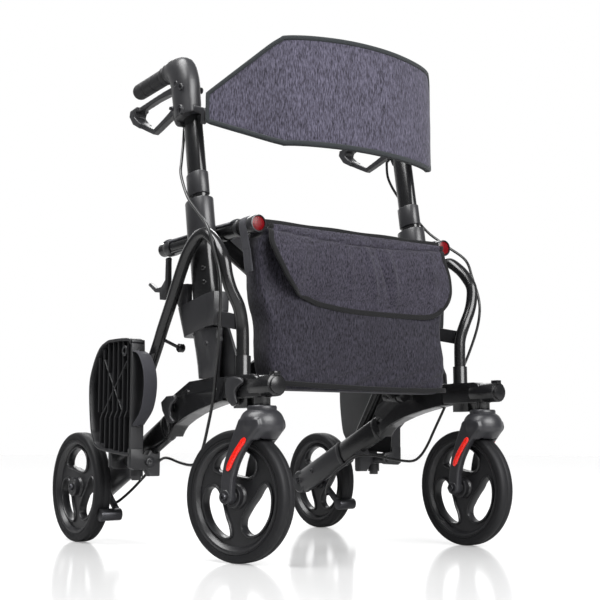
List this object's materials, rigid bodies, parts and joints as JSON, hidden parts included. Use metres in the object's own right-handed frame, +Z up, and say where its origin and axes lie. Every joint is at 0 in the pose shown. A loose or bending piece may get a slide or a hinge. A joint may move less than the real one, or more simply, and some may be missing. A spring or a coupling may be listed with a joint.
{
  "type": "rollator and transport chair",
  "caption": "Folding four-wheel walking frame that is also a transport chair, with a seat, bag, curved backrest, raised side footrests and loop-handle brakes",
  "frame": {"origin": "middle of the footprint on the floor, with the casters as the picture shows them", "axes": "+Z up, -Y the way the user walks, +X the walking user's left"},
  "size_m": [0.6016, 0.6901, 0.854],
  "materials": {
    "front_block": "gloss black",
    "side_beam": "gloss black",
    "rear_leg": "gloss black",
    "front_clip": "matt dark grey moulding",
    "rear_clip": "matt dark grey moulding",
    "side_loop": "gloss black",
    "lower_post": "satin dark grey moulding",
    "outer_post": "gloss black",
    "brake_cable": "matt dark rubber",
    "rear_axle": "black coated steel",
    "seat_sling": "purple-grey heather weave",
    "bag": "purple-grey heather weave",
    "backrest": "grey heather weave",
    "caster_fork": "satin dark grey moulding",
    "fork_reflector": "red reflector",
    "front_axle": "black coated steel",
    "front_rim": "satin dark grey moulding",
    "front_tyre": "matt dark grey solid rubber",
    "rear_rim": "satin dark grey moulding",
    "rear_tyre": "matt dark grey solid rubber",
    "handle_post": "gloss black",
    "handle_housing": "satin dark grey moulding",
    "grip": "matt dark rubber",
    "brake_lever": "matt dark grey moulding",
    "brake_arm": "black coated steel",
    "footrest_hanger": "satin dark grey moulding",
    "footplate": "matt dark grey moulding",
    "heel_loop": "black webbing",
    "cross_brace_a": "gloss black",
    "seat_rail": "gloss black",
    "rail_reflector": "red reflector",
    "cross_brace_b": "gloss black",
    "fold_hook": "matt dark grey moulding"
  },
  "bodies": {
    "right_frame": {"front_block_right": "front_block", "side_beam_right": "side_beam", "rear_leg_right": "rear_leg", "front_clip_right": "front_clip", "rear_clip_right": "rear_clip", "side_loop_right": "side_loop", "lower_post_right": "lower_post", "outer_post_right": "outer_post", "brake_cable_right": "brake_cable", "rear_axle_right": "rear_axle", "seat_sling": "seat_sling", "bag": "bag", "backrest": "backrest"},
    "left_frame": {"front_block_left": "front_block", "side_beam_left": "side_beam", "rear_leg_left": "rear_leg", "front_clip_left": "front_clip", "rear_clip_left": "rear_clip", "side_loop_left": "side_loop", "lower_post_left": "lower_post", "outer_post_left": "outer_post", "brake_cable_left": "brake_cable", "rear_axle_left": "rear_axle"},
    "caster_right": {"caster_fork_right": "caster_fork", "fork_reflector_right": "fork_reflector", "front_axle_right": "front_axle"},
    "front_wheel_right": {"front_rim_right": "front_rim", "front_tyre_right": "front_tyre"},
    "rear_wheel_right": {"rear_rim_right": "rear_rim", "rear_tyre_right": "rear_tyre"},
    "handle_right": {"handle_post_right": "handle_post", "handle_housing_right": "handle_housing", "grip_right": "grip"},
    "lever_right": {"brake_lever_right": "brake_lever"},
    "brake_right": {"brake_arm_right": "brake_arm"},
    "hanger_right": {"footrest_hanger_right": "footrest_hanger"},
    "footrest_right": {"footplate_right": "footplate", "heel_loop_right": "heel_loop"},
    "caster_left": {"caster_fork_left": "caster_fork", "fork_reflector_left": "fork_reflector", "front_axle_left": "front_axle"},
    "front_wheel_left": {"front_rim_left": "front_rim", "front_tyre_left": "front_tyre"},
    "rear_wheel_left": {"rear_rim_left": "rear_rim", "rear_tyre_left": "rear_tyre"},
    "handle_left": {"handle_post_left": "handle_post", "handle_housing_left": "handle_housing", "grip_left": "grip"},
    "lever_left": {"brake_lever_left": "brake_lever"},
    "brake_left": {"brake_arm_left": "brake_arm"},
    "hanger_left": {"footrest_hanger_left": "footrest_hanger"},
    "footrest_left": {"footplate_left": "footplate", "heel_loop_left": "heel_loop"},
    "brace_a": {"cross_brace_a": "cross_brace_a", "seat_rail_left": "seat_rail", "rail_reflector_left": "rail_reflector"},
    "brace_b": {"cross_brace_b": "cross_brace_b", "seat_rail_right": "seat_rail", "rail_reflector_right": "rail_reflector"},
    "hook": {"fold_hook": "fold_hook"}
  },
  "joints": [
    {"name": "fold", "type": "hinge", "parent": "right_frame", "child": "brace_a", "pos_m": [-0.2, -0.13295, 0.265], "axis": [0, -1, 0], "range_deg": [0, 46], "deforming": ["seat_sling", "bag", "backrest"]},
    {"name": "brace_cross", "type": "hinge", "parent": "brace_a", "child": "brace_b", "pos_m": [0, -0.09495, 0.3965], "axis": [0, 1, 0], "range_deg": [0, 92]},
    {"name": "left_foot", "type": "hinge", "parent": "brace_b", "child": "left_frame", "pos_m": [0.2, -0.09495, 0.265], "axis": [0, -1, 0], "range_deg": [0, 46]},
    {"name": "hook_swing", "type": "hinge", "parent": "brace_b", "child": "hook", "pos_m": [-0.2015, 0.05905, 0.5085], "axis": [0, -1, 0], "range_deg": [0, 80]},
    {"name": "swivel_right", "type": "hinge", "parent": "right_frame", "child": "caster_right", "pos_m": [-0.2325, -0.28965, 0.1], "axis": [0, 0, 1], "continuous": true},
    {"name": "front_spin_right", "type": "hinge", "parent": "caster_right", "child": "front_wheel_right", "pos_m": [-0.24468, -0.24633, 0.1], "axis": [0.9627, 0.2706, 0], "continuous": true},
    {"name": "rear_spin_right", "type": "hinge", "parent": "right_frame", "child": "rear_wheel_right", "pos_m": [-0.278, 0.24505, 0.1], "axis": [1, 0, 0], "continuous": true},
    {"name": "handle_height_right", "type": "slide", "parent": "right_frame", "child": "handle_right", "axis": [0, 0.1532, 0.9882], "range_m": [0, 0.1], "deforming": ["brake_cable_right", "backrest"]},
    {"name": "brake_squeeze_right", "type": "hinge", "parent": "handle_right", "child": "lever_right", "pos_m": [-0.245, -0.05295, 0.7513], "axis": [1, 0, 0], "range_deg": [0, 6], "stiffness_Nm_per_rad": 1.5, "deforming": ["brake_cable_right"]},
    {"name": "brake_press_right", "type": "hinge", "parent": "right_frame", "child": "brake_right", "pos_m": [-0.2325, 0.20905, 0.108], "axis": [1, 0, 0], "range_deg": [0, 3.6]},
    {"name": "footrest_lift_right", "type": "slide", "parent": "right_frame", "child": "hanger_right", "axis": [0, 0, 1], "range_m": [0, 0.015]},
    {"name": "footrest_fold_right", "type": "hinge", "parent": "hanger_right", "child": "footrest_right", "pos_m": [-0.265, 0.05005, 0.148], "axis": [0, -1, 0], "range_deg": [0, 90]},
    {"name": "swivel_left", "type": "hinge", "parent": "left_frame", "child": "caster_left", "pos_m": [0.2325, -0.28965, 0.1], "axis": [0, 0, 1], "continuous": true},
    {"name": "front_spin_left", "type": "hinge", "parent": "caster_left", "child": "front_wheel_left", "pos_m": [0.23124, -0.24467, 0.1], "axis": [0.9996, 0.0279, 0], "continuous": true},
    {"name": "rear_spin_left", "type": "hinge", "parent": "left_frame", "child": "rear_wheel_left", "pos_m": [0.278, 0.24505, 0.1], "axis": [1, 0, 0], "continuous": true},
    {"name": "handle_height_left", "type": "slide", "parent": "left_frame", "child": "handle_left", "axis": [0, 0.1532, 0.9882], "range_m": [0, 0.1], "deforming": ["brake_cable_left", "backrest"]},
    {"name": "brake_squeeze_left", "type": "hinge", "parent": "handle_left", "child": "lever_left", "pos_m": [0.245, -0.05295, 0.7513], "axis": [1, 0, 0], "range_deg": [0, 6], "stiffness_Nm_per_rad": 1.5, "deforming": ["brake_cable_left"]},
    {"name": "brake_press_left", "type": "hinge", "parent": "left_frame", "child": "brake_left", "pos_m": [0.2325, 0.20905, 0.108], "axis": [1, 0, 0], "range_deg": [0, 3.6]},
    {"name": "footrest_lift_left", "type": "slide", "parent": "left_frame", "child": "hanger_left", "axis": [0, 0, 1], "range_m": [0, 0.015]},
    {"name": "footrest_fold_left", "type": "hinge", "parent": "hanger_left", "child": "footrest_left", "pos_m": [0.265, 0.05005, 0.148], "axis": [0, 1, 0], "range_deg": [0, 90]}
  ],
  "couplings": [
    {"joint": "brace_cross", "follows": "fold", "ratio": 2},
    {"joint": "left_foot", "follows": "fold", "ratio": 1},
    {"joint": "brake_press_right", "follows": "brake_squeeze_right", "ratio": 0.6},
    {"joint": "brake_press_left", "follows": "brake_squeeze_left", "ratio": 0.6}
  ]
}
